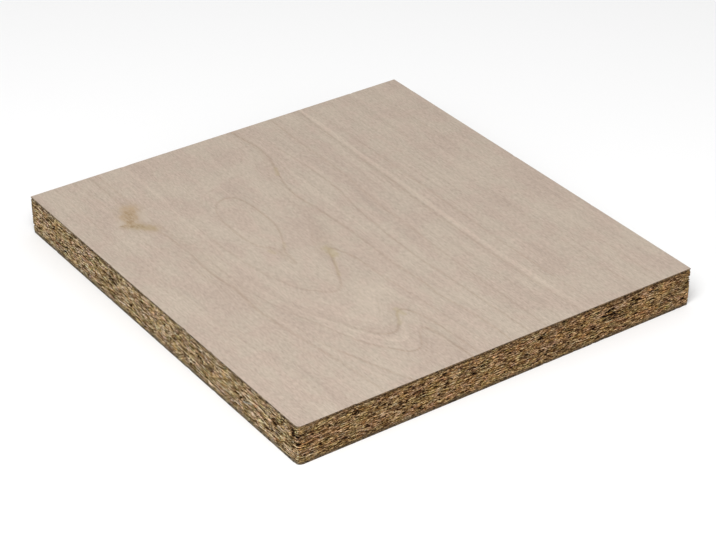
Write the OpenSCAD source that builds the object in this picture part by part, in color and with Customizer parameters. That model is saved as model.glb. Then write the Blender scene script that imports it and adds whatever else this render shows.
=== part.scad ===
// Veneered particle board: a flat sheet of pressed wood chips, with a thin sheet of
// maple veneer glued to each broad face and all its edges left as the saw cut them.
// It lies flat: the underside rests on z = 0, and the origin is the middle of the
// underside. The grain of both veneers runs along Y.

/* [Panel] */
// Width of the panel, across the grain of its veneers
panel_w = 208; // [60:1:1220]
// Length of the panel, along the grain of its veneers
panel_l = 223; // [60:1:2440]

/* [Core] */
// Thickness of the pressed chip core after sanding
core_t = 17.8; // [8:0.1:37]

/* [Veneers] */
// Thickness of the maple veneer on the top face
face_veneer_t = 0.6; // [0.4:0.05:1.5]
// Thickness of the balancing veneer on the underside
back_veneer_t = 0.6; // [0.4:0.05:1.5]

/* [Hidden] */

// The sheets are glued face to face, so each one starts where the last one ends
core_z = back_veneer_t;
face_veneer_z = core_z + core_t;

// One flat sheet of the panel, its underside at height z
module sheet(z, thickness) {
    translate([-panel_w / 2, -panel_l / 2, z])
        cube([panel_w, panel_l, thickness]);
}

// Pressed chips, bare on the sawn edges
module particle_core() {
    color([0.50, 0.42, 0.32])
        sheet(core_z, core_t);
}

// Show face: maple, sanded
module face_veneer() {
    color([0.76, 0.69, 0.63])
        sheet(face_veneer_z, face_veneer_t);
}

// Balancing sheet of the underside
module back_veneer() {
    color([0.69, 0.62, 0.54])
        sheet(0, back_veneer_t);
}

particle_core();
face_veneer();
back_veneer();
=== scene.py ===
import math

import bmesh
import bpy
import numpy as np
from mathutils import Matrix, Vector, noise


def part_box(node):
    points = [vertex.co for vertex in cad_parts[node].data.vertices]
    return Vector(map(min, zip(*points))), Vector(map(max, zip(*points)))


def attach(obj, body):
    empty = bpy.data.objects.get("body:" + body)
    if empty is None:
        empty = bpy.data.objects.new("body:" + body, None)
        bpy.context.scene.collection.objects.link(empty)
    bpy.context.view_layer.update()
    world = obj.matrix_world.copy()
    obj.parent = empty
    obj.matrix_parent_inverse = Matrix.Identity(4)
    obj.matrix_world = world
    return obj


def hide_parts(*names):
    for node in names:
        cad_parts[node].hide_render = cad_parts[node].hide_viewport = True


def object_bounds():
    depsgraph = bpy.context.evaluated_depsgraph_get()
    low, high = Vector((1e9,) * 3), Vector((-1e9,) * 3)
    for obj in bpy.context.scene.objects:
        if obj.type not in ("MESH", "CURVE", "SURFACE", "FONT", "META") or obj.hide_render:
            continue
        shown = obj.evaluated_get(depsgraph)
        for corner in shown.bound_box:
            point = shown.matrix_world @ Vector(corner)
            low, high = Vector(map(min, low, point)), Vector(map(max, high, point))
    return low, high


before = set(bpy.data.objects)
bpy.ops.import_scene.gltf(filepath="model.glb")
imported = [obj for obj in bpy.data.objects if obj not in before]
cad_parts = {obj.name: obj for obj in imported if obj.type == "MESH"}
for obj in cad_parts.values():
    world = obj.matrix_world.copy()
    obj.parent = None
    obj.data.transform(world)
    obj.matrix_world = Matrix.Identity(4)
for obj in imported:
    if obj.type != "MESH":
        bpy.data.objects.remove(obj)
cadLow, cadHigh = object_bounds()
scene = bpy.context.scene
mm = 0.001
touch = 0.01 * mm  # points this close together count as one
print("frame loaded, board", [round(side / mm, 2) for side in cadHigh - cadLow], "mm")


def addNode(tree, kind, **settings):  # this and the next few build every node tree
    node = tree.nodes.new(kind)
    for name, value in settings.items():
        setattr(node, name, value)
    return node


def feed(tree, socket, value):  # links a socket, or sets a plain number
    if isinstance(value, bpy.types.NodeSocket):
        tree.links.new(value, socket)
    else:
        socket.default_value = value


def wire(tree, node, values, output=0):
    for socket, value in zip(node.inputs, values):
        feed(tree, socket, value)
    return node.outputs[output]


def calc(tree, operation, *values, clamp=False):
    node = addNode(tree, "ShaderNodeMath", operation=operation, use_clamp=clamp)
    return wire(tree, node, values)


def vectorCalc(tree, operation, *values, output="Vector"):
    return wire(tree, addNode(tree, "ShaderNodeVectorMath", operation=operation), values, output)


def apart(tree, place, spot):
    return vectorCalc(tree, "DISTANCE", place, spot, output="Value")


def dot(tree, a, b):
    return vectorCalc(tree, "DOT_PRODUCT", a, b, output="Value")


def scaleBy(tree, vector, amount):
    node = addNode(tree, "ShaderNodeVectorMath", operation="SCALE")
    feed(tree, node.inputs[0], vector)
    feed(tree, node.inputs["Scale"], amount)
    return node.outputs["Vector"]


def inMm(tree, coords):
    return vectorCalc(tree, "MULTIPLY", coords, (1 / mm,) * 3)


def split(tree, vector):
    node = addNode(tree, "ShaderNodeSeparateXYZ")
    tree.links.new(vector, node.inputs[0])
    return node.outputs[:]


def join(tree, x, y, z):
    return wire(tree, addNode(tree, "ShaderNodeCombineXYZ"), (x, y, z))


def fade(tree, value, start, end, low=0.0, high=1.0):  # soft step, falling where start is over end
    node = addNode(tree, "ShaderNodeMapRange", interpolation_type="SMOOTHSTEP")
    return wire(tree, node, (value, start, end, low, high))


def between(tree, factor, a, b):
    node = addNode(tree, "ShaderNodeMix", data_type="FLOAT")
    for index, value in ((0, factor), (2, a), (3, b)):
        feed(tree, node.inputs[index], value)
    return node.outputs[0]


def mixColor(tree, factor, a, b, way="MIX"):
    node = addNode(tree, "ShaderNodeMix", data_type="RGBA", blend_type=way)
    for index, value in ((0, factor), (6, a), (7, b)):
        feed(tree, node.inputs[index], value)
    return node.outputs[2]


def cloud(tree, place, stretch, detail=2.0, roughness=0.5):  # noise, stretch in cycles per mm
    node = addNode(tree, "ShaderNodeTexNoise")
    tree.links.new(vectorCalc(tree, "MULTIPLY", place, stretch), node.inputs["Vector"])
    node.inputs["Scale"].default_value = 1.0
    node.inputs["Detail"].default_value = detail
    node.inputs["Roughness"].default_value = roughness
    return node.outputs["Fac"]


def waver(tree, place, stretch, detail=2.0, roughness=0.5):  # the same noise, to both sides of zero
    return calc(tree, "SUBTRACT", cloud(tree, place, stretch, detail, roughness), 0.5)


def ramp(tree, value, stops, smooth="LINEAR"):
    node = addNode(tree, "ShaderNodeValToRGB")
    node.color_ramp.interpolation = smooth
    elements = node.color_ramp.elements
    while len(elements) < len(stops):
        elements.new(0.5)
    for element, (position, color) in zip(elements, stops):
        element.position = position
        element.color = color
    feed(tree, node.inputs[0], value)
    return node.outputs[0]


def paint(red, green, blue):  # a colour as mixed on screen, 0 to 255
    return tuple(((c / 255 + 0.055) / 1.055) ** 2.4 for c in (red, green, blue)) + (1.0,)


def gray(level):
    return (level, level, level, 1.0)


def newGroup(name, kind, inputs, outputs):
    group = bpy.data.node_groups.new(name, kind)
    for socketName, socketType in inputs:
        group.interface.new_socket(name=socketName, in_out="INPUT", socket_type=socketType)
    for socketName, socketType in outputs:
        group.interface.new_socket(name=socketName, in_out="OUTPUT", socket_type=socketType)
    return group, addNode(group, "NodeGroupInput").outputs, addNode(group, "NodeGroupOutput").inputs


def placeGroup(tree, group, values):
    kind = "GeometryNodeGroup" if tree.bl_idname == "GeometryNodeTree" else "ShaderNodeGroup"
    node = addNode(tree, kind, node_tree=group)
    for name, value in values.items():
        feed(tree, node.inputs[name], value)
    return node.outputs


def newMaterial(name):
    material = bpy.data.materials.new(name)
    material.use_nodes = True
    tree = material.node_tree
    return material, tree, tree.nodes["Principled BSDF"]


def setGloss(surface, roughness, specular):
    surface.inputs["Roughness"].default_value = roughness
    surface.inputs["Specular IOR Level"].default_value = specular


def addBump(tree, surface, height, strength, distance):
    bump = addNode(tree, "ShaderNodeBump")
    bump.inputs["Strength"].default_value = strength
    bump.inputs["Distance"].default_value = distance
    feed(tree, bump.inputs["Height"], height)
    feed(tree, surface.inputs["Normal"], bump.outputs["Normal"])


number, vector, color = "NodeSocketFloat", "NodeSocketVector", "NodeSocketColor"

# The chip core: one recipe places the flakes, both for the relief and for the colours.
# Each layer of flakes: spacing of their middles, their half length and half thickness in mm before they
# are laid out, the share that is there, how much of it the fines take away, how far the flakes lean,
# and an offset that keeps the layers apart
chipLayers = {
    "small": dict(spacing=(1.7, 1.7, 0.36), length=1.0, thickness=0.14, share=0.85, thinning=0.15,
                  lean=0.04, offset=(5.7, 13.1, 8.9)),
    "middle": dict(spacing=(2.6, 2.6, 0.45), length=1.7, thickness=0.15, share=0.55, thinning=0.75,
                   lean=0.03, offset=(11.3, 2.9, 5.3)),
    "big": dict(spacing=(5.5, 5.5, 0.90), length=3.4, thickness=0.15, share=0.28, thinning=1.0,
                lean=0.03, offset=(3.1, 7.7, 1.9)),
    "pale": dict(spacing=(4.5, 4.5, 1.30), length=2.6, thickness=0.14, share=0.35, thinning=0.7,
                 lean=0.03, offset=(23.3, 9.1, 0.7)),
    "void": dict(spacing=(2.0, 2.0, 0.80), length=0.7, thickness=0.34, share=0.42, thinning=0.8,
                 lean=0.08, offset=(17.9, 4.3, 3.7)),
    "tear": dict(spacing=(4.0, 4.0, 1.40), length=2.6, thickness=0.42, share=-0.2, thinning=0.0,
                 lean=0.20, offset=(9.7, 6.1, 2.3)),
}
coreLook = {
    "columnWidth": 1.0 * mm,
    "rowHeight": 0.2 * mm,
    "finesDepth": 1.9,  # mm of fine dust under each veneer
    "finesUneven": 2.4,  # mm that its depth may vary by
    "finesBlend": 0.8,  # mm over which it fades, either way
    "finesSmooth": 0.6,  # share of the relief that it hides
    "gapDepth": 0.11,  # mm between flakes
    "flakeStep": 0.08,  # mm, one flake to the next
    "voidDepth": 1.0,
    "holeShare": 0.33,  # half length of a torn hole, as a share of how far round it others follow
    "holeFlatter": 3.0,  # how much longer than high a torn hole is
    "glueDepth": 0.25,  # the glue line lies back under each veneer
    "glueAndShadeReach": (1.1, 0.3),  # mm from the veneer where the glue line and its painted shade start and where they are full
    "laid": (0.64, 0.47),  # across the board and along it: lower makes the chips longer
    "lineGap": 1.1,  # mm between the dark lines that pressing leaves, before they sway
    "lineSway": 22.0,
    "wavy": 0.3,  # mm that the flakes' layers rise and fall
    "ripple": 0.04,  # mm that each flake is uneven by
    # The gap colour is painted shade between the flakes; the void colour is painted shade inside holes
    "gap": paint(46, 27, 10), "void": paint(24, 12, 4), "pressLine": paint(46, 29, 13),
    # The glue colours here are a glue line and painted shade, under the face veneer and over the back
    # veneer
    "fines": paint(100, 88, 68), "glueAndShadeAbove": paint(62, 48, 31), "glueAndShadeBelow": paint(96, 90, 77),
    "endShade": (0.765, 0.655, 0.545, 1.0),  # share of red, green and blue that the two ends keep: painted shade, darker and browner
    "roughness": 0.9, "specular": 0.1,
}
flakeColors = [
    (0.0, paint(44, 29, 15)), (0.22, paint(84, 62, 38)), (0.42, paint(130, 106, 74)),
    (0.58, paint(160, 136, 101)), (0.75, paint(189, 166, 130)), (0.9, paint(217, 197, 164)),
    (1.0, paint(240, 227, 201)),
]
# Each flake is tinted by one of these
flakeTints = [
    (0.0, (1.1, 0.92, 0.8, 1)), (0.25, (1.0, 1.0, 1.0, 1)), (0.45, (0.93, 1.0, 0.8, 1)),
    (0.65, (1.0, 0.98, 1.0, 1)), (0.82, (0.97, 1.0, 1.1, 1)),
]
# Broad patches drift between two tints: the pattern's shift in mm, its stretch, and the tints
patchTints = [
    (0.0, (0.22, 0.22, 0.35), (1.08, 0.97, 0.97, 1), (0.94, 1.02, 0.96, 1)),
    (50.0, (0.20, 0.20, 0.30), (0.99, 0.98, 1.10, 1), (1.0, 1.0, 0.80, 1)),
]
# Where chips have torn out: the hole's place on the board in mm, and how far round it others follow
tornSpots = [
    ((-104, -111, 10), 7), ((-99, -111, 14), 4), ((-104, -107.5, 15.5), 4), ((-104, -101, 16), 4),
    ((-104, -95, 11), 4), ((-104, -38, 11.5), 3), ((-104, -8, 4), 3), ((-104, 37, 12), 4),
    ((-104, 58, 3.5), 3), ((-104, 80, 7), 4), ((-104, 90, 12), 3.5), ((-76, -111, 15.5), 5),
    ((-67, -111, 10.5), 3), ((-53, -111, 10), 3.5), ((-42, -111, 10), 4), ((-31, -111, 16), 4),
    ((-11, -111, 12.5), 3), ((12, -111, 8), 3), ((20, -111, 14), 3), ((35, -111, 11), 3),
    ((57, -111, 13.5), 6), ((65, -111, 10.5), 3), ((72, -111, 12), 5), ((104, -111, 13.5), 2.5),
]
# Single long splinters that catch the eye: from, to, half width in mm, colour
splinters = [
    ((-104, -71, 8.2), (-104, -77.5, 10.6), 0.34, paint(150, 149, 138)),
    ((-104, -39, 16.0), (-104, -47, 16.2), 0.30, paint(214, 196, 160)),
    ((-104, -72, 11.2), (-104, -84, 12.0), 0.30, paint(218, 203, 172)),
    ((-104, 93, 5.3), (-104, 81, 5.8), 0.28, paint(138, 96, 68)),
]
coreLow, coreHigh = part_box("particle_core")


def flakeGroup(kind):  # lens-shaped flakes, each with its own size, lean and tone
    tree, given, out = newGroup(
        "flakes", kind,
        [("Place", vector), ("Spacing", vector), ("Offset", vector), ("Length", number),
         ("Thickness", number), ("Share", number), ("Lean", number)],
        [("Inside", number), ("Tone", number), ("Step", number)])
    cell = addNode(tree, "ShaderNodeTexVoronoi")
    cell.inputs["Scale"].default_value = 1.0
    shifted = vectorCalc(tree, "ADD", given["Place"], given["Offset"])
    spaced = vectorCalc(tree, "DIVIDE", shifted, given["Spacing"])
    tree.links.new(spaced, cell.inputs["Vector"])
    away = vectorCalc(tree, "SUBTRACT", spaced, cell.outputs["Position"])
    alongX, alongY, through = split(tree, vectorCalc(tree, "MULTIPLY", away, given["Spacing"]))
    leanX, leanY, size = split(tree, cell.outputs["Color"])
    dice = addNode(tree, "ShaderNodeTexWhiteNoise")
    tree.links.new(cell.outputs["Position"], dice.inputs["Vector"])
    tone, there, plump = split(tree, dice.outputs["Color"])
    for side, lean in ((alongX, leanX), (alongY, leanY)):
        slope = calc(tree, "MULTIPLY", calc(tree, "SUBTRACT", lean, 0.5), given["Lean"])
        through = calc(tree, "MULTIPLY_ADD", side, slope, through)
    smallest, spread = 0.45, 0.9  # flakes are 0.45 to 1.35 times the given size
    reach = calc(tree, "MULTIPLY", given["Length"], calc(tree, "MULTIPLY_ADD", size, spread, smallest))
    fat = calc(tree, "MULTIPLY", given["Thickness"], calc(tree, "MULTIPLY_ADD", plump, spread, smallest))
    outX, outY = (calc(tree, "POWER", calc(tree, "DIVIDE", side, reach), 2.0) for side in (alongX, alongY))
    left = calc(tree, "SUBTRACT", 1.0, calc(tree, "ADD", outX, outY))
    belly = calc(tree, "SQRT", calc(tree, "MAXIMUM", left, 0.0))
    half = calc(tree, "MULTIPLY", fat, belly)
    inside = calc(tree, "SUBTRACT", half, calc(tree, "ABSOLUTE", through))
    missing = calc(tree, "GREATER_THAN", there, given["Share"])
    feed(tree, out["Inside"], calc(tree, "SUBTRACT", inside, missing))
    feed(tree, out["Tone"], tone)
    feed(tree, out["Step"], size)
    return tree


def layFlakes(tree, flakes, laid, fines, name, torn=0.0):  # one layer: fewer in the fines, more where torn
    layer = chipLayers[name]
    left = calc(tree, "SUBTRACT", 1.0, calc(tree, "MULTIPLY", fines, layer["thinning"]))
    share = calc(tree, "ADD", calc(tree, "MULTIPLY", layer["share"], left), torn)
    return placeGroup(tree, flakes, {
        "Place": laid, "Spacing": layer["spacing"], "Offset": layer["offset"], "Length": layer["length"],
        "Thickness": layer["thickness"], "Share": share, "Lean": layer["lean"]})


def chipGroup(kind):  # everything that the sawn edge shows at a place, in mm
    tree, given, out = newGroup(
        "chips", kind, [("Place", vector)],
        [("Tone", number), ("Gap", number), ("Void", number), ("Fines", number), ("Height", number),
         ("GlueAndShade", number)])
    place = given["Place"]
    flakes = flakeGroup(kind)
    x, y, z = split(tree, place)
    fromBack = calc(tree, "SUBTRACT", z, coreLow.z / mm)
    fromFace = calc(tree, "SUBTRACT", coreHigh.z / mm, z)
    depth, uneven, blend = coreLook["finesDepth"], coreLook["finesUneven"], coreLook["finesBlend"]
    patchy = calc(tree, "SUBTRACT", calc(tree, "MINIMUM", fromBack, fromFace), uneven / 2)
    patchy = calc(tree, "MULTIPLY_ADD", cloud(tree, place, (0.12, 0.12, 0.4)), uneven, patchy)
    fines = fade(tree, patchy, depth + blend, depth - blend)
    # Where the glue line and its painted shade lie, close to each veneer
    feed(tree, out["GlueAndShade"], fade(tree, patchy, *coreLook["glueAndShadeReach"]))
    lift = calc(tree, "MULTIPLY", waver(tree, place, (0.07, 0.07, 0.2), 1.0), coreLook["wavy"])
    ripple = calc(tree, "MULTIPLY", waver(tree, place, (0.4, 0.4, 1.4), 2.0), coreLook["ripple"])
    across, along = coreLook["laid"]
    laid = join(tree, calc(tree, "MULTIPLY", x, across), calc(tree, "MULTIPLY", y, along),
                calc(tree, "ADD", z, calc(tree, "ADD", lift, ripple)))
    dust = cloud(tree, laid, (0.7, 0.7, 2.4), 3.0, 0.7)
    tone = fade(tree, dust, 0.38, 0.62, 0.05, 0.95)
    # Gap: the dark ground between flakes and a dark rim round each flake; it sinks the relief and is
    # painted shade in the colour
    gap = fade(tree, dust, 0.46, 0.37, 0.0, 1.0)
    height = 0.0
    for name in ("small", "middle", "big", "pale"):
        flake = layFlakes(tree, flakes, laid, fines, name)
        there = fade(tree, flake["Inside"], -0.01, 0.02)
        rim = fade(tree, flake["Inside"], 0.06, 0.0)
        shade = flake["Tone"] if name != "pale" else calc(tree, "MULTIPLY_ADD", flake["Tone"], 0.12, 0.88)
        tone = between(tree, there, tone, shade)
        gap = between(tree, there, gap, calc(tree, "MULTIPLY", rim, 0.7))
        height = between(tree, there, height, calc(tree, "MULTIPLY_ADD", flake["Step"], 0.7, 0.3))
    torn = 0.0
    for spot, reach in tornSpots:
        torn = calc(tree, "ADD", torn, fade(tree, apart(tree, place, spot), reach, reach * 0.4, 0.0, 0.8))
    hollow = -9.0  # mm into a hole, at first far outside any
    for name in ("void", "tear"):
        hole = layFlakes(tree, flakes, laid, fines, name, torn)
        hollow = calc(tree, "MAXIMUM", hollow, hole["Inside"])
    flatter = coreLook["holeFlatter"]
    spread = vectorCalc(tree, "MULTIPLY", place, (1, 1, flatter))
    for (spotX, spotY, spotZ), reach in tornSpots:
        away = apart(tree, spread, (spotX, spotY, spotZ * flatter))
        deep = calc(tree, "MULTIPLY", calc(tree, "SUBTRACT", reach * coreLook["holeShare"], away), 0.3)
        hollow = calc(tree, "MAXIMUM", hollow, deep)
    ragged = calc(tree, "MULTIPLY_ADD", calc(tree, "SUBTRACT", dust, 0.5), 0.5, hollow)
    # Void: how far inside a hole; it sinks the relief, and its near-black colour is painted shade
    feed(tree, out["Void"], fade(tree, ragged, -0.03, 0.08))
    for name, value in (("Tone", tone), ("Gap", gap), ("Fines", fines), ("Height", height)):
        feed(tree, out[name], value)
    return tree


def buildCoreWalls():  # four finely divided sawn walls, closed above and below
    size = coreHigh - coreLow
    middle = (coreHigh + coreLow) / 2
    rows = round(size.z / coreLook["rowHeight"])
    bm = bmesh.new()
    strips = bm.loops.layers.uv.new("OFBake")
    stand = Matrix.Rotation(math.pi / 2, 4, "X")
    for turn in range(4):
        width, out = (size.x, size.y / 2) if turn % 2 == 0 else (size.y, size.x / 2)
        columns = round(width / coreLook["columnWidth"])
        turned = Matrix.Rotation(turn * math.pi / 2, 4, "Z")
        place = Matrix.Translation(middle) @ turned @ Matrix.Translation((0, -out, 0))
        made = bmesh.ops.create_grid(
            bm, x_segments=columns, y_segments=rows, size=0.5,
            matrix=place @ stand @ Matrix.Diagonal((width, size.z, 1, 1)))
        back = (place @ stand).inverted()
        for face in {face for vert in made["verts"] for face in vert.link_faces}:
            row = turn * 2 + (0 if (back @ face.calc_center_median()).x < 0 else 1)
            for loop in face.loops:
                loop[strips].uv = stripCorner(back @ loop.vert.co, row, width, size.z)
    bmesh.ops.remove_doubles(bm, verts=bm.verts, dist=touch)
    rims = [edge for edge in bm.edges if edge.is_boundary]
    for height in (coreLow.z, coreHigh.z):
        rim = [edge for edge in rims if abs(edge.verts[0].co.z - height) < touch]
        cap = bmesh.ops.edgeloop_fill(bm, edges=rim)["faces"]
        for face in cap:
            for loop in face.loops:
                loop[strips].uv = capCorner(loop.vert.co, height == coreHigh.z)
    bmesh.ops.recalc_face_normals(bm, faces=bm.faces)
    return bm


# The core's laid-out map: eight rows of half walls on the left, the two hidden caps small on the right
coreMap = {"gap": 0.004, "rows": 0.97, "capSize": 0.09, "capLeft": 0.9, "topFoot": 0.6, "underFoot": 0.3}


def stripCorner(local, row, width, height):  # half a wall to each row of the map
    gap, rows = coreMap["gap"], coreMap["rows"]
    scale = (rows / 8 - gap) / height
    along = local.x + (width / 2 if row % 2 == 0 else 0)
    return gap + along * scale, gap + row * rows / 8 + (local.y + height / 2) * scale


def capCorner(co, top):
    size = coreHigh - coreLow
    across, along = (co.x - coreLow.x) / size.x, (co.y - coreLow.y) / size.y
    foot = coreMap["topFoot"] if top else coreMap["underFoot"]
    return across * coreMap["capSize"] + coreMap["capLeft"], along * coreMap["capSize"] + foot


# How far each upright corner is knocked round, by its side across and along: mm at the top and at the foot
cornerWear = {
    (-1, -1): (2.2, 2.8),
    (-1, 1): (0.2, 1.3),
    (1, -1): (0.2, 0.9),
    (1, 1): (0.2, 0.6),
}


def cornerDent(co, low, high):  # moves a point in from a knocked corner, most of all close to the foot
    for (sideX, sideY), (top, foot) in cornerWear.items():
        edgeX = (high.x if sideX > 0 else low.x) - co.x
        edgeY = (high.y if sideY > 0 else low.y) - co.y
        down = min(max((cadHigh.z - co.z) / (cadHigh.z - cadLow.z), 0), 1)
        radius = (top + (foot - top) * down ** 6) * mm
        inX, inY = radius - abs(edgeX), radius - abs(edgeY)
        if inX > 0 and inY > 0:
            over = math.hypot(inX, inY) - radius
            if over > 0:
                pull = over / math.hypot(inX, inY)
                co.x -= sideX * inX * pull
                co.y -= sideY * inY * pull


def reliefTree():  # keeps each point's rest place, then sinks it by what the chips say
    through = [("Geometry", "NodeSocketGeometry")]
    tree, given, out = newGroup("chip relief", "GeometryNodeTree", through, through)
    position = addNode(tree, "GeometryNodeInputPosition").outputs[0]
    keep = addNode(tree, "GeometryNodeStoreNamedAttribute", data_type="FLOAT_VECTOR", domain="POINT")
    feed(tree, keep.inputs["Geometry"], given["Geometry"])
    feed(tree, keep.inputs["Name"], "rest")
    feed(tree, keep.inputs["Value"], position)
    inward = addNode(tree, "GeometryNodeInputNamedAttribute", data_type="FLOAT_VECTOR")
    inward.inputs["Name"].default_value = "inward"
    chips = placeGroup(tree, chipGroup("GeometryNodeTree"), {"Place": inMm(tree, position)})
    rough = calc(tree, "MULTIPLY_ADD", chips["Fines"], -coreLook["finesSmooth"], 1.0)
    steps = calc(tree, "MULTIPLY", calc(tree, "SUBTRACT", 1.0, chips["Height"]), coreLook["flakeStep"])
    sunk = calc(tree, "MULTIPLY_ADD", chips["Gap"], coreLook["gapDepth"], steps)
    sunk = calc(tree, "MULTIPLY", sunk, rough)
    sunk = calc(tree, "MULTIPLY_ADD", chips["Void"], coreLook["voidDepth"], sunk)
    sunk = calc(tree, "MULTIPLY_ADD", chips["GlueAndShade"], coreLook["glueDepth"], sunk)
    move = addNode(tree, "GeometryNodeSetPosition")
    feed(tree, move.inputs["Geometry"], keep.outputs["Geometry"])
    feed(tree, move.inputs["Offset"], scaleBy(tree, inward.outputs[0], calc(tree, "MULTIPLY", sunk, mm)))
    feed(tree, out["Geometry"], move.outputs["Geometry"])
    return tree


def makePiece(name, bm, materials):
    mesh = bpy.data.meshes.new(name)
    bm.to_mesh(mesh)
    bm.free()
    piece = bpy.data.objects.new(name, mesh)
    scene.collection.objects.link(piece)
    for material in materials:
        mesh.materials.append(material)
    return piece


def freezeModifiers(piece):
    depsgraph = bpy.context.evaluated_depsgraph_get()
    mesh = bpy.data.meshes.new_from_object(piece.evaluated_get(depsgraph))
    piece.modifiers.clear()
    piece.data = mesh


def endShadeGroup():  # painted shade: the two ends that cross the grain are made darker and browner than the sides
    tree, given, out = newGroup(
        "painted end shade", "ShaderNodeTree", [("Place", vector), ("Color", color)], [("Color", color)])
    x, y = split(tree, given["Place"])[:2]
    toSide = calc(tree, "SUBTRACT", coreHigh.x / mm, calc(tree, "ABSOLUTE", x))
    toEnd = calc(tree, "SUBTRACT", coreHigh.y / mm, calc(tree, "ABSOLUTE", y))
    onEnd = calc(tree, "LESS_THAN", toEnd, toSide)
    feed(tree, out["Color"], mixColor(tree, onEnd, given["Color"], coreLook["endShade"], "MULTIPLY"))
    return tree


endShade = endShadeGroup()


def strokeGroup():  # how many half widths a place is from a straight stroke
    tree, given, out = newGroup(
        "stroke", "ShaderNodeTree",
        [("Place", vector), ("Start", vector), ("End", vector), ("Width", number)], [("Away", number)])
    run = vectorCalc(tree, "SUBTRACT", given["End"], given["Start"])
    reach = vectorCalc(tree, "SUBTRACT", given["Place"], given["Start"])
    share = calc(tree, "DIVIDE", dot(tree, reach, run), dot(tree, run, run), clamp=True)
    away = apart(tree, reach, scaleBy(tree, run, share))
    feed(tree, out["Away"], calc(tree, "DIVIDE", away, given["Width"]))
    return tree


stroke = strokeGroup()


def strokeAway(tree, place, start, end, width):
    return placeGroup(tree, stroke, {"Place": place, "Start": start, "End": end, "Width": width})[0]


def coreMaterial():
    material, tree, surface = newMaterial("pressed chips")
    place = inMm(tree, addNode(tree, "ShaderNodeAttribute", attribute_name="rest").outputs["Vector"])
    chips = placeGroup(tree, chipGroup("ShaderNodeTree"), {"Place": place})
    flake = ramp(tree, chips["Tone"], flakeColors)
    fibre = cloud(tree, place, (1.0, 0.8, 3.2), 3.0, 0.7)
    fibreTone = ramp(tree, fibre, [(0.38, gray(0.36)), (0.62, gray(1.5))])
    flake = mixColor(tree, 1.0, flake, fibreTone, "MULTIPLY")
    sway = calc(tree, "MULTIPLY", cloud(tree, place, (0.10, 0.07, 0.30), 2.0), coreLook["lineSway"])
    phase = calc(tree, "MULTIPLY_ADD", split(tree, place)[2], 2 * math.pi / coreLook["lineGap"], sway)
    broken = fade(tree, cloud(tree, place, (0.6, 0.35, 1.2), 2.0), 0.40, 0.60)
    pressed = calc(tree, "MULTIPLY", fade(tree, calc(tree, "SINE", phase), 0.1, 0.9), broken)
    flake = mixColor(tree, calc(tree, "MULTIPLY", pressed, 0.85), flake, coreLook["pressLine"])
    hue = calc(tree, "FRACT", calc(tree, "MULTIPLY", chips["Tone"], 7.3))
    flake = mixColor(tree, 1.0, flake, ramp(tree, hue, flakeTints, "CONSTANT"), "MULTIPLY")
    for shift, stretch, first, second in patchTints:
        drift = cloud(tree, vectorCalc(tree, "ADD", place, (shift, shift, shift)), stretch, 1.0)
        flake = mixColor(tree, 1.0, flake, ramp(tree, drift, [(0.3, first), (0.7, second)]), "MULTIPLY")
    frayed = calc(tree, "SUBTRACT", fibre, 0.5)
    for start, end, width, shade in splinters:
        away = calc(tree, "MULTIPLY_ADD", frayed, 1.6, strokeAway(tree, place, start, end, width))
        flake = mixColor(tree, fade(tree, away, 1.5, 0.6, 0.0, 0.85), flake, shade)
    flake = mixColor(tree, calc(tree, "MULTIPLY", chips["Fines"], 0.22), flake, coreLook["fines"])
    # Painted shade: darker between the flakes and round their rims
    edge = mixColor(tree, calc(tree, "MULTIPLY", chips["Gap"], 0.9), flake, coreLook["gap"])
    # Painted shade: holes and torn spots made near black
    edge = mixColor(tree, chips["Void"], edge, coreLook["void"])
    # Glue line and painted shade: a dark line just under the face veneer, a greyer one just over the back
    # veneer
    glueAndShade = calc(tree, "MULTIPLY", chips["GlueAndShade"], fade(tree, fibre, 0.60, 0.40, 0.25, 1.0))
    nearBack = fade(tree, split(tree, place)[2], 3.0, 1.5)
    glueAndShadeTone = mixColor(tree, nearBack, coreLook["glueAndShadeAbove"], coreLook["glueAndShadeBelow"])
    edge = mixColor(tree, glueAndShade, edge, glueAndShadeTone)
    # Painted shade: the two ends of the core darker and browner
    edge = placeGroup(tree, endShade, {"Place": place, "Color": edge})[0]
    feed(tree, surface.inputs["Base Color"], edge)
    setGloss(surface, coreLook["roughness"], coreLook["specular"])
    raised = calc(tree, "MULTIPLY_ADD", fibre, 0.5, chips["Height"])
    addBump(tree, surface, calc(tree, "SUBTRACT", raised, chips["Gap"]), 0.6, 0.12 * mm)
    return material


def buildCore():
    bm = buildCoreWalls()
    inward = bm.verts.layers.float_vector.new("inward")
    for vert in bm.verts:
        pushX = (vert.co.x < coreLow.x + touch) - (vert.co.x > coreHigh.x - touch)
        pushY = (vert.co.y < coreLow.y + touch) - (vert.co.y > coreHigh.y - touch)
        vert[inward] = (pushX, pushY, 0)
    piece = makePiece("chip_core", bm, [coreMaterial()])
    relief = piece.modifiers.new("relief", "NODES")
    relief.node_group = reliefTree()
    freezeModifiers(piece)
    for vert in piece.data.vertices:
        cornerDent(vert.co, coreLow, coreHigh)
    return piece


chipCore = buildCore()
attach(chipCore, "root")
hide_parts("particle_core")
print("core walls", len(chipCore.data.polygons), "faces")
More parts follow.
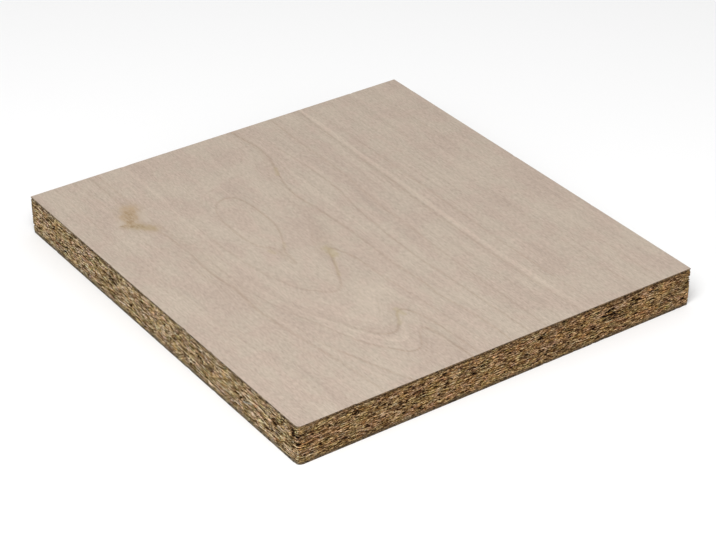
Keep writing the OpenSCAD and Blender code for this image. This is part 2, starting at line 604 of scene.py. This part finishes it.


# The veneers: a ring number at every point gives the figure, and its lines keep their width in mm.
# Growth rings of the show face, placed to half a millimetre: points across and along the sheet,
# in mm from the left front corner
faceRings = {
    -0.35: [[(70, 146)]],
    0.0: [[(73, 169.5), (78, 165), (79.5, 150), (79, 138), (76, 127), (71.5, 118.5), (69, 110),
           (67.5, 103), (66.5, 112), (66.5, 120), (62.5, 125), (60.5, 134), (60.5, 146), (62.5, 160),
           (66, 166.5)]],
    0.5: [[(72, 190), (76, 223)]],
    1.0: [[(56, 223), (55, 204), (50.5, 176), (49, 159), (48.5, 140), (49, 128), (50, 117), (52, 104),
           (54.5, 94), (57.5, 86), (63, 79), (68.5, 74.5), (74.5, 77.5), (78.5, 86), (83, 96),
           (86.5, 104.5), (90, 101), (92, 94), (93, 80), (94, 63), (95.5, 47), (96.5, 33), (98, 16),
           (99, 0)],
          [(110, 223), (112, 204), (111.5, 194), (109, 184), (106, 175), (103, 166), (101.5, 154),
           (102.5, 140), (103.5, 126), (104, 114), (104, 95), (104, 69), (105, 58), (104.5, 46),
           (106.5, 33), (107.5, 0)]],
    2.0: [[(43, 223), (43, 180), (43, 140), (43, 116), (44.5, 97), (46.5, 80), (50.5, 66), (55.5, 55),
           (60, 44.5), (65.5, 36), (71.5, 33.5), (77, 38.5), (82, 46), (85.5, 45), (88.5, 37), (90, 28.5),
           (91, 14), (91.5, 0)],
          [(113.5, 223), (116, 211), (119, 196), (120, 183), (121, 166), (121, 155), (120, 143),
           (118, 130), (115.5, 101), (115, 72), (116, 58), (117, 33), (118, 0)]],
    3.0: [[(38, 223), (38, 180), (38, 150), (38, 123), (38.5, 102), (40, 87), (43, 76), (47, 63),
           (50.5, 52), (54.5, 40), (58.5, 31.5), (64.5, 23), (70, 17.5), (75.5, 20), (80, 27.5), (83, 30),
           (85.5, 23), (86.5, 11.5), (87, 0)],
          [(132.5, 223), (131.5, 187), (131.5, 166), (130, 143), (128.5, 125), (128, 101), (127, 60),
           (127, 0)]],
    4.0: [[(34.5, 223), (36, 150), (36.5, 100), (37.5, 70), (41, 46), (45, 34), (48.5, 23), (53, 11),
           (57, 1), (70, -12), (82, 10), (85, 0)],
          [(137.5, 223), (137, 110), (136, 0)]],
    5.0: [[(30.5, 223), (30.5, 194), (31, 178), (32, 163), (33.5, 154), (34, 137), (34.5, 101),
           (34.5, 69), (36.5, 54), (38.5, 40), (40.5, 23), (43, 0)],
          [(148.5, 223), (147.5, 194), (146.5, 166), (146, 137), (145, 116), (144.5, 90), (144.5, 59),
           (145, 37), (146.5, 0)]],
    6.0: [[(22, 223), (23, 150), (26, 80), (33, 0)],
          [(154.5, 223), (155, 120), (155, 0)]],
    7.0: [[(12, 223), (13, 110), (20, 0)],
          [(166, 223), (166, 110), (166, 0)]],
    8.0: [[(0, 223), (0, 110), (5, 0)],
          [(178, 223), (178, 0)]],
    10.0: [[(208, 223), (208, 110), (208, 0)]],
}
# How a ring shows round a spot on it: its dark line, the pale side after it, and the shade before it,
# which is pale below 0
ringMarks = {
    (79, 145): (1.0, 0.2, 0.3), (60.5, 140): (0.85, 0.2, 0.2), (73, 169.5): (0.8, 0.2, 0.3),
    (64, 163): (0.45, 0.2, 0.2), (67.5, 103): (0.7, 0.5, 0.4), (112, 204): (0.8, 0.8, 1.2),
    (101.5, 154): (1.0, 0.9, 0.5), (104, 95): (0.8, 0.8, 0.3), (104.5, 46): (0.7, 0.8, 0.2),
    (107.5, 2): (0.7, 0.8, 0.2), (120, 183): (0.6, 0.1, -0.8), (121, 160): (0.85, 0.1, -0.8),
    (115.5, 101): (0.9, 0.2, -0.8), (117, 33): (0.9, 0.2, -0.8), (115, 215): (0.3, 0.3, -0.5),
    (131.5, 187): (0.7, 0.6, 0.3), (128.5, 125): (0.55, 0.2, 0.4), (127, 60): (0.3, 0.1, 0.4),
    (137.5, 190): (0.1, 0.0, 0.0), (137, 110): (0.1, 0.0, 0.0), (136.5, 30): (0.15, 0.2, 0.2),
    (147, 190): (0.4, 3.1, 0.4), (146, 137): (0.5, 3.1, 0.5), (144.5, 90): (0.5, 3.1, 0.5),
    (145, 40): (0.5, 2.7, 0.4), (146.5, 5): (0.4, 2.3, 0.3), (154.5, 190): (0.4, 0.2, 0.0),
    (155, 110): (0.6, 0.2, 0.0), (155, 50): (0.6, 0.2, 0.0), (155, 10): (0.2, 0.2, 0.0),
    (166, 190): (0.1, 0.2, 0.0), (166, 110): (0.1, 0.3, 0.0), (166, 30): (0.1, 0.2, 0.0),
    (178, 190): (0.2, 0.4, 0.3), (178, 40): (0.2, 0.4, 0.3), (200, 110): (0.1, 0.1, 0.0),
    (49, 120): (0.6, 0.5, 0.0), (50, 170): (0.0, 0.8, 0.2), (55, 205): (0.0, 0.8, 0.2),
    (57.5, 86): (0.5, 0.3, 0.3), (68.5, 74.5): (0.45, 0.6, 0.5), (78.5, 86): (1.0, 0.3, 0.2),
    (86.5, 104.5): (1.1, 0.5, 1.5), (92, 94): (0.8, 0.6, 0.1), (94, 63): (0.5, 1.1, -0.2),
    (98, 16): (0.3, 0.8, -0.2), (43, 190): (0.0, 1.2, -0.5), (43, 140): (0.0, 1.4, -0.5),
    (46.5, 80): (0.0, 2.0, 0.3), (55.5, 55): (0.1, 2.2, 0.3), (60, 44.5): (0.4, 2.6, 0.5),
    (71.5, 33.5): (1.1, 2.8, 0.5), (82, 46): (1.1, 0.7, 0.3), (90, 28.5): (0.8, 0.5, 0.1),
    (38, 123): (0.3, 0.0, -0.2), (41.5, 80): (0.4, 0.0, -0.6), (50.5, 52): (0.7, -0.2, -0.8),
    (58.5, 31.5): (1.0, -0.2, -1.1), (70, 17.5): (1.3, -0.3, -1.0), (76, 21): (0.8, -0.3, -0.8),
    (81.5, 29): (0.4, -0.4, -0.6), (84.5, 27): (0.8, 0.0, 0.6), (86.5, 11.5): (1.1, 0.3, 0.3),
    (36.5, 110): (0.0, 0.0, 0.0), (37.5, 70): (0.2, 0.0, 0.0), (41, 46): (0.5, 0.5, 0.0),
    (48.5, 23): (0.9, 0.5, -0.5), (57, 1): (1.1, 0.2, -0.5), (79, 8): (0.0, 0.3, 0.0),
    (84.5, 3): (0.0, 0.0, 0.0), (30.5, 205): (0.4, 0.6, 0.8), (33.5, 150): (0.6, 0.0, 0.3),
    (34.5, 101): (1.0, 0.2, 0.5), (34.5, 69): (0.8, 0.3, 0.5), (38.5, 40): (0.7, 0.2, 0.2),
    (42, 10): (0.6, 0.6, 0.1), (23, 150): (0.3, 0.0, 0.0), (26, 80): (0.1, 0.0, 0.0),
    (32, 10): (0.1, 0.3, 0.0), (22, 200): (0.3, 0.2, 0.0), (13, 110): (0.1, 0.1, 0.0),
    (18, 30): (0.1, 0.1, 0.0), (2, 110): (0.1, 0.1, 0.0),
}
veneerLook = {
    "cell": 1.3 * mm,  # mesh spacing of the sheets
    "ringStretch": 0.35,  # a mm along the grain counts for this much across it
    "ringLoose": 0.5,  # how freely the rings pass beside their points, so that they run smooth
    "ringApart": 12.0,  # mm that one ring counts for when marks are blended
    "arris": 0.1 * mm,  # broken edge all round
    "nickRim": 0.3 * mm,  # nicks touch only points this close to the rim
    "nickDepth": 0.3 * mm,
    "nickRate": 400,  # cycles a metre of the noise that places them
    "nickFewer": 0.46,  # higher leaves fewer nicks
}


def ringField(rings, stretch):  # a smooth sheet of ring numbers through the drawn lines
    drawn = [(ring, x, y * stretch) for ring, lines in rings.items() for line in lines for x, y in line]
    values, spots = np.array(drawn, float)[:, 0], np.array(drawn, float)[:, 1:]
    count = len(spots)

    def bend(squared):
        return squared * np.log(np.maximum(squared, 1e-12))

    system = np.zeros((count + 3, count + 3))
    squares = ((spots[:, None] - spots[None]) ** 2).sum(-1)
    system[:count, :count] = bend(squares) + veneerLook["ringLoose"] * np.eye(count)
    system[:count, count] = system[count, :count] = 1
    system[:count, count + 1:] = spots
    system[count + 1:, :count] = spots.T
    weights = np.linalg.solve(system, np.append(values, (0, 0, 0)))

    def field(x, y):
        at = np.stack([x, y * stretch], -1)
        squares = ((at[:, None] - spots[None]) ** 2).sum(-1)
        return bend(squares) @ weights[:count] + weights[count] + at @ weights[count + 1:]

    return field


def markStrength(x, y, field):  # blends the marks by how near they are, on the board and in ring number
    spots = np.array(list(ringMarks), float)
    values = np.array(list(ringMarks.values()), float)
    alongGap = (y[:, None] - spots[:, 1]) * veneerLook["ringStretch"]
    squares = (x[:, None] - spots[:, 0]) ** 2 + alongGap ** 2
    ringGap = np.round(field(x, y))[:, None] - field(spots[:, 0], spots[:, 1])
    squares += (ringGap * veneerLook["ringApart"]) ** 2
    weights = 1 / (squares + 1.0) ** 3
    return (weights @ values) / weights.sum(1, keepdims=True)


def plainStrength(x, y, field):  # the back sheet's marks only come and go slowly across it
    return np.stack([0.5 + 0.3 * np.sin(x / 17), 0.3 + 0 * x, 0.3 * np.sin(x / 29)], -1)


def straightField(x, y):  # the back sheet's rings: slow waves along straight grain
    return x / 9 + 0.35 * np.sin(y / 61 + x / 37) + 0.12 * np.sin(y / 23 - x / 19)


def writeRings(bm, low, field, strength):  # each point's ring number, ring width in mm, and marks
    names = ("ring", "ringPitch", "ringInk", "ringGlow", "ringShade")
    ring, pitch, ink, glow, shade = [bm.verts.layers.float.new(name) for name in names]
    x = np.array([(v.co.x - low.x) / mm for v in bm.verts])
    y = np.array([(v.co.y - low.y) / mm for v in bm.verts])
    step = 0.5
    rings = field(x, y)
    slope = np.hypot(field(x + step, y) - rings, field(x, y + step) - rings) / step
    for vert, value, steep, marks in zip(bm.verts, rings, slope, strength(x, y, field)):
        vert[ring] = value
        vert[pitch] = 1 / max(steep, 0.02)
        vert[ink], vert[glow], vert[shade] = marks


def nickRim(co, low, high):  # small nicks in the sheet's arris
    middle, near = (low + high) / 2, veneerLook["nickRim"]
    toSide, toEnd = min(high.x - co.x, co.x - low.x), min(high.y - co.y, co.y - low.y)
    if min(toSide, toEnd) >= near:
        return
    nick = noise.noise(co * veneerLook["nickRate"] + Vector((3, 5, 7))) - veneerLook["nickFewer"]
    pull = min(max(nick, 0) * 5, 1) * veneerLook["nickDepth"]
    if toSide < near:
        co.x -= math.copysign(pull, co.x - middle.x)
    if toEnd < near:
        co.y -= math.copysign(pull, co.y - middle.y)


def buildSheet(name, node, field, strength, materials, showFace):  # showFace is 1 for up, -1 for down
    low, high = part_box(node)
    size = high - low
    middle = (low + high) / 2
    columns, rows = (round(side / veneerLook["cell"]) for side in (size.x, size.y))
    bm = bmesh.new()
    bmesh.ops.create_grid(
        bm, x_segments=columns, y_segments=rows, size=0.5,
        matrix=Matrix.Translation((middle.x, middle.y, low.z)) @ Matrix.Diagonal((size.x, size.y, 1, 1)))
    raised = bmesh.ops.extrude_face_region(bm, geom=bm.faces[:])["geom"]
    upper = [item for item in raised if isinstance(item, bmesh.types.BMVert)]
    bmesh.ops.translate(bm, verts=upper, vec=(0, 0, size.z))
    hidden, shown = (low.z, high.z) if showFace > 0 else (high.z, low.z)
    glued = [f for f in bm.faces if all(abs(v.co.z - hidden) < touch for v in f.verts)]
    bmesh.ops.dissolve_faces(bm, faces=glued, use_verts=False)
    bmesh.ops.recalc_face_normals(bm, faces=bm.faces)
    rim = [e for e in bm.edges if all(abs(v.co.z - shown) < touch for v in e.verts)
           and any(abs(f.normal.z) < 0.5 for f in e.link_faces)]
    bmesh.ops.bevel(
        bm, geom=rim, offset=veneerLook["arris"], segments=1, affect="EDGES", profile=0.5, material=-1)
    for f in bm.faces:
        f.material_index = 0 if f.normal.z * showFace > 0.9 else 1
        f.smooth = False
    writeRings(bm, low, field, strength)
    for vert in bm.verts:
        nickRim(vert.co, low, high)
        cornerDent(vert.co, low, high)
    layers = bm.loops.layers.uv.new("OFBake")
    for f in bm.faces:
        for loop in f.loops:
            loop[layers].uv = sheetCorner(loop.vert.co, f.normal, low, size, showFace)
    return makePiece(name, bm, materials)


# A sheet's laid-out map: left, foot, width and height of the show face, the glued face and the first rim
sheetMap = {
    "show": (0.01, 0.03, 0.86, 0.94), "glued": (0.90, 0.88, 0.09, 0.09), "rim": (0.90, 0.03, 0.012, 0.8),
}
rimStep = 0.02  # from one rim to the next


def sheetCorner(co, normal, low, size, showFace):
    across, along = (co.x - low.x) / size.x, (co.y - low.y) / size.y
    facing = normal.z * showFace
    if abs(facing) > 0.5:
        left, foot, width, height = sheetMap["show" if facing > 0 else "glued"]
        return left + across * width, foot + along * height
    left, foot, width, height = sheetMap["rim"]
    onSide = abs(normal.x) > 0.5
    left += rimStep * (onSide * 2 + (normal.x + normal.y > 0))
    return left + (co.z - low.z) / size.z * width, foot + (along if onSide else across) * height


def mapleGroup():  # sliced maple: ring lines, latewood, fibre, long bands and soft patches
    tree, given, out = newGroup(
        "sliced maple", "ShaderNodeTree",
        [("Place", vector), ("Ring", number), ("Pitch", number), ("Ink", number), ("Glow", number),
         ("Shade", number), ("Streaks", number), ("Patches", number)],
        [("Tone", number), ("Line", number), ("Warmth", number), ("Height", number)])
    place = given["Place"]
    wander = calc(tree, "MULTIPLY_ADD", cloud(tree, place, (0.25, 0.05, 0.25), 3.0, 0.6), 0.9, -0.45)
    broken = fade(tree, cloud(tree, place, (0.9, 0.09, 0.9), 3.0, 0.65), 0.36, 0.62, 0.55, 1.15)
    ink = calc(tree, "MULTIPLY", given["Ink"], broken)

    def ringAway(count):  # how far past the nearest ring line, as a share of the ring and in mm
        scaled = calc(tree, "MULTIPLY", given["Ring"], count)
        share = calc(tree, "SUBTRACT", scaled, calc(tree, "ROUND", scaled))
        return share, calc(tree, "MULTIPLY_ADD", share, calc(tree, "DIVIDE", given["Pitch"], count), wander)

    share, away = ringAway(1.0)
    thin = fade(tree, calc(tree, "ABSOLUTE", away), 1.25, 0.0)
    before = calc(tree, "MULTIPLY", fade(tree, share, -0.4, -0.08), calc(tree, "LESS_THAN", away, 0.0))
    crest = fade(tree, given["Pitch"], 8.5, 12.0, 0.26, 0.45)
    after = calc(tree, "MULTIPLY", fade(tree, share, 0.04, crest), fade(tree, share, 0.5, crest))
    line = calc(tree, "MULTIPLY", thin, ink)
    line = calc(tree, "MULTIPLY_ADD", calc(tree, "MULTIPLY", before, given["Shade"]), 0.42, line)
    faint = fade(tree, calc(tree, "ABSOLUTE", ringAway(4.0)[1]), 0.8, 0.0)
    faintHere = fade(tree, cloud(tree, place, (0.08, 0.02, 0.08), 2.0), 0.38, 0.60, 0.0, 0.30)
    faintHere = calc(tree, "MULTIPLY_ADD", calc(tree, "ABSOLUTE", given["Shade"]), 0.10, faintHere)
    line = calc(tree, "MULTIPLY_ADD", faint, calc(tree, "MULTIPLY", broken, faintHere), line)
    x, y = split(tree, place)[:2]
    growth = join(tree, given["Ring"], calc(tree, "MULTIPLY", y, 0.006), calc(tree, "MULTIPLY", x, 0.01))
    growth = waver(tree, growth, (4.0, 1.0, 1.0), 4.0, 0.7)
    fibre = waver(tree, place, (1.1, 0.03, 1.1), 3.0, 0.7)
    hair = waver(tree, place, (2.2, 0.45, 2.2), 2.0, 0.6)
    streaks = calc(tree, "ADD", calc(tree, "MULTIPLY", fibre, 0.30), calc(tree, "MULTIPLY", hair, 0.70))
    streaks = calc(tree, "MULTIPLY", calc(tree, "MULTIPLY_ADD", growth, 0.22, streaks), given["Streaks"])
    patch = calc(tree, "MULTIPLY", waver(tree, place, (0.055, 0.035, 0.055)), given["Patches"])
    tone = calc(tree, "MULTIPLY_ADD", calc(tree, "MULTIPLY", after, given["Glow"]), 0.045, streaks)
    tone = calc(tree, "MULTIPLY_ADD", patch, 0.17, tone)
    feed(tree, out["Tone"], calc(tree, "ADD", tone, 1.0))
    feed(tree, out["Line"], line)
    moved = vectorCalc(tree, "ADD", place, (40.0, 90.0, 0.0))
    warmth = cloud(tree, moved, (0.11, 0.08, 0.11), 4.0, 0.65)
    feed(tree, out["Warmth"], calc(tree, "MULTIPLY_ADD", patch, -0.9, warmth))
    height = calc(tree, "SUBTRACT", calc(tree, "ADD", fibre, hair), calc(tree, "MULTIPLY", line, 0.3))
    feed(tree, out["Height"], height)
    return tree


sliced = mapleGroup()


def sheetPlace(tree):
    return inMm(tree, addNode(tree, "ShaderNodeTexCoord").outputs["Object"])


def ringValue(tree, name):
    return addNode(tree, "ShaderNodeAttribute", attribute_name=name).outputs["Fac"]


def mapleWood(tree, surface, look):  # the plain sliced wood, with its gloss and its grain to the touch
    place = sheetPlace(tree)
    grain = placeGroup(tree, sliced, {
        "Place": place, "Ring": ringValue(tree, "ring"), "Pitch": ringValue(tree, "ringPitch"),
        "Ink": ringValue(tree, "ringInk"), "Glow": ringValue(tree, "ringGlow"),
        "Shade": ringValue(tree, "ringShade"), "Streaks": look["streaks"], "Patches": look["patches"]})
    wood = mixColor(tree, fade(tree, grain["Warmth"], 0.35, 0.65), look["cool"], look["warm"])
    inked = calc(tree, "MULTIPLY", grain["Line"], look["rings"], clamp=True)
    wood = mixColor(tree, inked, wood, look["line"])
    pale = calc(tree, "MULTIPLY", calc(tree, "MINIMUM", grain["Line"], 0.0), -0.12)
    tone = calc(tree, "ADD", grain["Tone"], pale)
    setGloss(surface, look["roughness"], look["specular"])
    addBump(tree, surface, grain["Height"], 0.5, look["grainDepth"])
    return place, mixColor(tree, 1.0, wood, join(tree, tone, tone, tone), "MULTIPLY")


faceLook = {
    "cool": paint(178, 164, 149), "warm": paint(178, 161, 147), "line": paint(140, 118, 97),
    "rings": 0.26, "streaks": 1.0, "patches": 1.0,
    "roughness": 0.62, "specular": 0.25, "grainDepth": 0.02 * mm,
    "knot": paint(171, 148, 120), "knotOlive": paint(163, 144, 115), "knotDark": paint(136, 114, 82),
    "knotPale": paint(186, 172, 157), "golden": paint(167, 152, 114),
    "edgePale": paint(146, 127, 101), "edgeDark": paint(34, 23, 13),
}
backLook = {
    "cool": paint(172, 154, 132), "warm": paint(178, 158, 136), "line": paint(132, 106, 82),
    "rings": 0.35, "streaks": 1.3, "patches": 1.3,
    "roughness": 0.7, "specular": 0.25, "grainDepth": 0.03 * mm,
    "edgePale": paint(136, 124, 104), "edgeDark": paint(32, 27, 18),
}
# Golden, darker marks in the face where the grain dives, in mm: from, to, half width, strength
goldenMarks = [
    ((86, 100), (86.5, 106), 2.4, 0.42), ((85, 99), (78, 84), 0.9, 0.22),
    ((82.5, 48), (82.5, 43), 1.5, 0.32), ((81, 45), (77, 37), 0.9, 0.25),
    ((105, 174), (107.5, 180), 1.1, 0.30), ((64.5, 118.5), (65, 115.5), 1.2, 0.25),
    ((71.5, 117.5), (73.5, 121), 0.9, 0.18),
]
# The small knot in mm, from, to and half width: two arms that meet at the left, its dark heart lines,
# and pale wood on both sides of it. Its arms turn from olive to brown between two places along the sheet
knotArms = [
    ((31, 186.5), (28, 180.5), 3.4), ((27, 181), (25.5, 174), 3.0), ((24.5, 173.5), (31.5, 165.5), 2.4),
]
knotHearts = [((29.5, 184), (26, 176.5), 2.4), ((21, 174.5), (29, 169.5), 1.3)]
knotSides = [((20.5, 176.5), (22, 177.5), 2.2), ((33, 174), (34, 179.5), 2.2)]
knotTurn = (170, 176)


def faceMaterial():
    material, tree, surface = newMaterial("maple face")
    place, wood = mapleWood(tree, surface, faceLook)
    low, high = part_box("face_veneer")

    def onSheet(x, y):
        return low.x / mm + x, low.y / mm + y, high.z / mm

    def strokeOn(start, end, width):
        return strokeAway(tree, place, onSheet(*start), onSheet(*end), width)

    rough = calc(tree, "MULTIPLY", waver(tree, place, (0.5, 0.25, 0.5), 3.0, 0.65), 2.1)
    for start, end, width, strength in goldenMarks:
        mark = calc(tree, "ADD", strokeOn(start, end, width), rough)
        wood = mixColor(tree, fade(tree, mark, 1.4, 0.2, 0.0, strength), wood, faceLook["golden"])
    spot = 9.0  # half widths from the knot, at first far away
    for start, end, width in knotArms:
        spot = calc(tree, "SMOOTH_MIN", spot, strokeOn(start, end, width), 0.35)
    spot = calc(tree, "ADD", spot, rough)
    grainy = cloud(tree, place, (0.9, 0.35, 0.9), 3.0, 0.7)
    turned = fade(tree, split(tree, place)[1], *(low.y / mm + along for along in knotTurn))
    knot = mixColor(tree, turned, faceLook["knotOlive"], faceLook["knot"])
    for start, end, width in knotSides:
        beside = fade(tree, strokeOn(start, end, width), 1.6, 0.2, 0.0, 0.6)
        wood = mixColor(tree, beside, wood, faceLook["knotPale"])
    wood = mixColor(tree, fade(tree, spot, 2.8, 0.9, 0.0, 0.20), wood, faceLook["knotOlive"])
    arms = calc(tree, "MULTIPLY", fade(tree, spot, 1.6, 0.3), fade(tree, grainy, 0.25, 0.6, 0.35, 0.9))
    wood = mixColor(tree, arms, wood, knot)
    speckled = fade(tree, grainy, 0.42, 0.60, 0.1, 0.65)
    for start, end, width in knotHearts:
        heart = calc(tree, "ADD", strokeOn(start, end, width), rough)
        dark = calc(tree, "MULTIPLY", fade(tree, heart, 1.5, 0.2), speckled)
        wood = mixColor(tree, dark, wood, faceLook["knotDark"])
    feed(tree, surface.inputs["Base Color"], wood)
    return material


def backMaterial():
    material, tree, surface = newMaterial("maple back")
    feed(tree, surface.inputs["Base Color"], mapleWood(tree, surface, backLook)[1])
    return material


def edgeMaterial(name, look):  # the sawn edge of a veneer: thin layers and broken fibres
    material, tree, surface = newMaterial(name)
    place = sheetPlace(tree)
    torn = calc(tree, "MULTIPLY", cloud(tree, place, (0.8, 0.7, 1.1), 3.0, 0.75), 0.75)
    layers = calc(tree, "MULTIPLY_ADD", cloud(tree, place, (0.5, 0.5, 9.0), 3.0, 0.6), 0.25, torn)
    edge = ramp(tree, layers, [(0.42, look["edgeDark"]), (0.58, look["edgePale"])])
    # Painted shade: the veneer's two ends darker and browner, as on the core
    feed(tree, surface.inputs["Base Color"], placeGroup(tree, endShade, {"Place": place, "Color": edge})[0])
    setGloss(surface, 0.8, 0.2)
    return material


faceSheet = buildSheet(
    "face_sheet", "face_veneer", ringField(faceRings, veneerLook["ringStretch"]), markStrength,
    [faceMaterial(), edgeMaterial("veneer edge", faceLook)], 1)
backSheet = buildSheet(
    "back_sheet", "back_veneer", straightField, plainStrength,
    [backMaterial(), edgeMaterial("back edge", backLook)], -1)
for piece, node, slot in (
        (faceSheet, "face_veneer", "maple_face"), (backSheet, "back_veneer", "maple_back")):
    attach(piece, "root")
    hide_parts(node)
    print(piece.name, len(piece.data.polygons), "faces")


# The studio: a pale floor, soft light and the camera, in metres and watts
studio = {
    "floorSize": 6.0,
    "floorDrop": 0.02 * mm,  # how far it lies under the board
    "floor": (0.92, 0.92, 0.92, 1.0),
    "worldStrength": 0.55,
    "keyPower": 16.0, "keySize": 0.88, "keyFrom": (-0.60, -0.56, 1.08),
    "fillPower": 4.0, "fillSize": 1.6, "fillFrom": (0.9, -1.8, 0.9),
}
# The camera, from the middle of the top face: degrees, lens in mm, then board widths
cameraLook = {
    "azimuth": -35.04, "elevation": 31.87, "lens": 112.2,
    "distance": 4.848, "right": 0.013, "up": -0.084,
}


def buildFloor():
    bm = bmesh.new()
    bmesh.ops.create_grid(bm, x_segments=1, y_segments=1, size=studio["floorSize"] / 2,
                          matrix=Matrix.Translation((0, 0, cadLow.z - studio["floorDrop"])))
    material, tree, surface = newMaterial("pale floor")
    surface.inputs["Base Color"].default_value = studio["floor"]
    surface.inputs["Roughness"].default_value = 0.9
    floor = makePiece("floor", bm, [material])


def softLight(name, power, size, start):
    lamp = bpy.data.lights.new(name, "AREA")
    lamp.energy = power
    lamp.size = size
    light = bpy.data.objects.new(name, lamp)
    light.location = start
    light.rotation_mode = "QUATERNION"
    light.rotation_quaternion = (-Vector(start)).to_track_quat("-Z", "Y")
    scene.collection.objects.link(light)


def placeCamera():
    azimuth, elevation = (math.radians(cameraLook[name]) for name in ("azimuth", "elevation"))
    level = math.cos(elevation)
    back = Vector((math.sin(azimuth) * level, -math.cos(azimuth) * level, math.sin(elevation)))
    right = Vector((0, 0, 1)).cross(back).normalized()
    up = back.cross(right)
    width = cadHigh.x - cadLow.x
    topMiddle = Vector(((cadLow.x + cadHigh.x) / 2, (cadLow.y + cadHigh.y) / 2, cadHigh.z))
    data = bpy.data.cameras.new("camera")
    data.lens = cameraLook["lens"]
    camera = bpy.data.objects.new("camera", data)
    offset = back * cameraLook["distance"] + right * cameraLook["right"] + up * cameraLook["up"]
    camera.location = topMiddle + width * offset
    camera.rotation_mode = "QUATERNION"
    camera.rotation_quaternion = Matrix((right, up, back)).transposed().to_quaternion()
    scene.collection.objects.link(camera)
    scene.camera = camera


buildFloor()
softLight("key light", studio["keyPower"], studio["keySize"], studio["keyFrom"])
softLight("fill light", studio["fillPower"], studio["fillSize"], studio["fillFrom"])
world = bpy.data.worlds.new("studio")
scene.world = world
world.use_nodes = True
sky = world.node_tree.nodes["Background"]
sky.inputs["Color"].default_value = (1, 1, 1, 1)
sky.inputs["Strength"].default_value = studio["worldStrength"]
scene.view_settings.view_transform = "Standard"
placeCamera()
print("studio ready")
